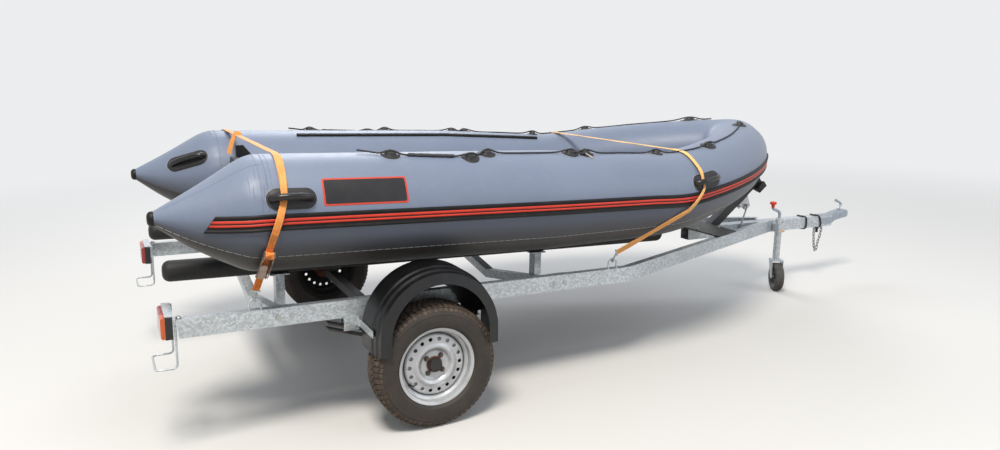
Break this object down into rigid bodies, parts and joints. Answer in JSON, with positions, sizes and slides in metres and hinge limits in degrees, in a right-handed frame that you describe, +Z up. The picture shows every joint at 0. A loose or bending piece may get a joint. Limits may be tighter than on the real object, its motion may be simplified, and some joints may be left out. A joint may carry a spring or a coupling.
{
  "type": "inflatable boat on a single-axle trailer",
  "caption": "Rigid-transom inflatable boat with pointed bow, strapped to a galvanised single-axle road trailer that stands on its jockey wheel.",
  "frame": {"origin": "on the ground under the middle of the outfit", "axes": "+X forward towards the bow and coupling, +Y to port, +Z up"},
  "size_m": [4.9918, 2.112, 1.2522],
  "materials": {
    "tube_fabric": "satin coated fabric, blue-grey",
    "bottom_fabric": "satin coated fabric, dark grey",
    "floor_fabric": "matt coated fabric, grey",
    "black_rubber": "matt black rubber",
    "black_plastic": "moulded black plastic",
    "transom_board": "black painted plywood",
    "galvanised": "hot-dip galvanised, spangled",
    "zinc_plate": "zinc plated",
    "dark_steel": "dark grey paint",
    "tyre_rubber": "dusty tread",
    "silver_paint": "silver paint",
    "cast_hub": "rusty casting",
    "lamp_lens": "red and amber lens",
    "padding": "black padding",
    "orange_strap": "orange webbing",
    "orange_knob": "orange-red knob",
    "grey_tyre": "solid tyre"
  },
  "bodies": {
    "boat_on_trailer": {"tube_starboard": "tube_fabric", "tube_port": "tube_fabric", "bow_starboard": "tube_fabric", "bow_port": "tube_fabric", "stern_cones": "tube_fabric", "strake_bow_starboard": "black_rubber", "strake_bow_port": "black_rubber", "strake_sides": "black_rubber", "strake_sterns": "black_rubber", "carry_handles": "black_rubber", "line_eyelets": "black_rubber", "cone_caps": "black_plastic", "fender_starboard": "black_plastic", "fender_port": "black_plastic", "lamp_housings": "black_plastic", "bench_rails": "black_plastic", "transom_holders": "black_plastic", "clamp_handle": "black_plastic", "bow_stop": "black_rubber", "cable_rings": "black_rubber", "lashing_straps": "orange_strap", "strap_hooks": "zinc_plate", "ratchet": "zinc_plate", "winch": "zinc_plate", "jockey_knob": "orange_knob", "hull_bottom": "bottom_fabric", "floor_deck": "floor_fabric", "transom": "transom_board", "rail_starboard": "galvanised", "rail_port": "galvanised", "drawbar": "galvanised", "crossmember_rear": "galvanised", "crossmember_front": "galvanised", "bunk_posts": "galvanised", "spring_hangers": "galvanised", "fender_stays": "galvanised", "lamp_brackets": "galvanised", "lamp_guards": "galvanised", "tie_loops": "galvanised", "jockey_clamp": "galvanised", "jockey_sleeve": "galvanised", "bunks": "padding", "coupling_head": "zinc_plate", "coupling_lever": "zinc_plate", "jockey_crank": "zinc_plate", "axle": "dark_steel", "winch_post": "dark_steel", "bow_support": "dark_steel", "leaf_springs": "dark_steel", "lamp_lenses": "lamp_lens"},
    "wheel_starboard": {"tyre_starboard": "tyre_rubber", "rim_starboard": "silver_paint", "hub_starboard": "cast_hub"},
    "wheel_port": {"tyre_port": "tyre_rubber", "rim_port": "silver_paint", "hub_port": "cast_hub"},
    "jockey_stem": {"jockey_leg": "zinc_plate"},
    "jockey_caster": {"jockey_fork": "zinc_plate"},
    "jockey_roller": {"jockey_wheel": "grey_tyre"}
  },
  "joints": [
    {"name": "wheel_starboard_spin", "type": "hinge", "parent": "boat_on_trailer", "child": "wheel_starboard", "pos_m": [-1.3522, -0.95, 0.2875], "axis": [0, 1, 0], "continuous": true},
    {"name": "wheel_port_spin", "type": "hinge", "parent": "boat_on_trailer", "child": "wheel_port", "pos_m": [-1.3522, 0.95, 0.2875], "axis": [0, 1, 0], "continuous": true},
    {"name": "jockey_slide", "type": "slide", "parent": "boat_on_trailer", "child": "jockey_stem", "axis": [-0.026, 0, -0.9997], "range_m": [0, 0.15]},
    {"name": "jockey_swivel", "type": "hinge", "parent": "jockey_stem", "child": "jockey_caster", "pos_m": [1.67262, -0.1, 0.24133], "axis": [0.026, 0, 0.9997], "continuous": true},
    {"name": "jockey_wheel_spin", "type": "hinge", "parent": "jockey_caster", "child": "jockey_roller", "pos_m": [1.64713, -0.13936, 0.10043], "axis": [-0.8743, 0.4848, 0.0227], "continuous": true}
  ]
}
